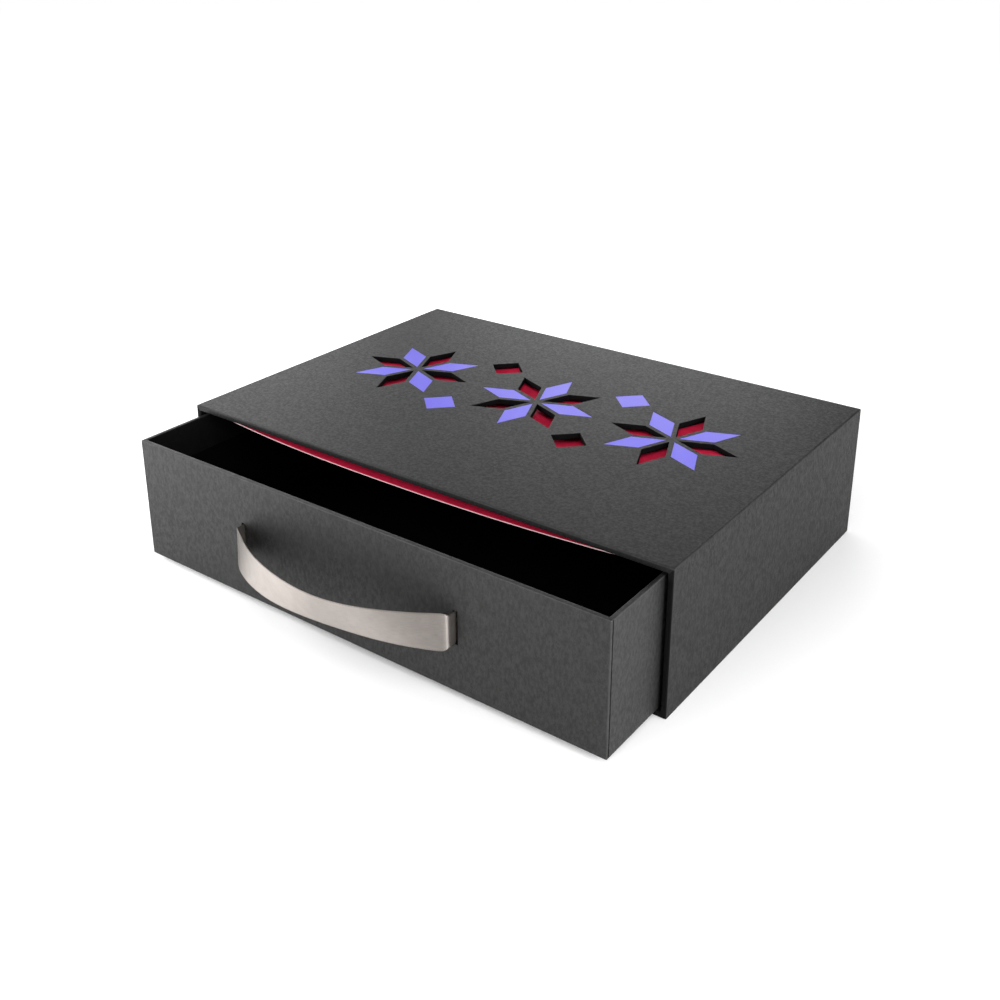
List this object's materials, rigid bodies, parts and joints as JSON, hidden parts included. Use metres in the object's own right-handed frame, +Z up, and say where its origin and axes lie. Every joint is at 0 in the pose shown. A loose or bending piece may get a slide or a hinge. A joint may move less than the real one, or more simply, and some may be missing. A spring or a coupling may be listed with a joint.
{
  "type": "sliding drawer gift box",
  "caption": "Rigid paper-covered gift box: a windowed sleeve closed at the back, with a shallow drawer that slides out by a satin ribbon pull.",
  "frame": {"origin": "centre of the sleeve's underside, which is the face the box stands on", "axes": "+Z up, +Y from the opening to the closed back, +X to the right for someone who looks into the opening; the drawer slides out along -Y"},
  "size_m": [0.23, 0.2177, 0.0582],
  "materials": {
    "grey_board_black": "black solid board, matte cut edges",
    "gummed_tape": "brown gummed paper tape",
    "cover_paper": "matte charcoal cover paper with a soft-touch face",
    "base_paper": "plain dark grey paper",
    "lining_paper": "black uncoated lining paper",
    "violet_foil": "satin violet stamped foil",
    "red_card": "deep red card with a pale cut edge",
    "paper_tape": "cream paper tape",
    "satin_ribbon": "silver-grey satin with fine ribbed edges"
  },
  "bodies": {
    "sleeve": {"sleeve_top_board": "grey_board_black", "sleeve_bottom_board": "grey_board_black", "sleeve_left_board": "grey_board_black", "sleeve_right_board": "grey_board_black", "sleeve_back_board": "grey_board_black", "sleeve_corner_stays": "gummed_tape", "sleeve_wrap": "cover_paper", "sleeve_base_sheet": "base_paper", "sleeve_liner": "lining_paper", "foil_inlays": "violet_foil", "red_backing_card": "red_card", "card_tape_strips": "paper_tape"},
    "drawer": {"drawer_front_board": "grey_board_black", "drawer_back_board": "grey_board_black", "drawer_left_board": "grey_board_black", "drawer_right_board": "grey_board_black", "drawer_bottom_board": "grey_board_black", "drawer_corner_stays": "gummed_tape", "drawer_wrap": "cover_paper", "drawer_liner": "lining_paper", "ribbon_tails": "satin_ribbon", "ribbon_tail_patches": "lining_paper"},
    "ribbon": {"ribbon_handle": "satin_ribbon"}
  },
  "joints": [
    {"name": "drawer_slide", "type": "slide", "parent": "sleeve", "child": "drawer", "axis": [0, -1, 0], "range_m": [-0.0324, 0.1276], "deforming": ["red_backing_card"]},
    {"name": "ribbon_swing", "type": "hinge", "parent": "drawer", "child": "ribbon", "pos_m": [0, -0.1154, 0.0285], "axis": [-1, 0, 0], "range_deg": [-20, 20], "stiffness_Nm_per_rad": 0.005}
  ]
}
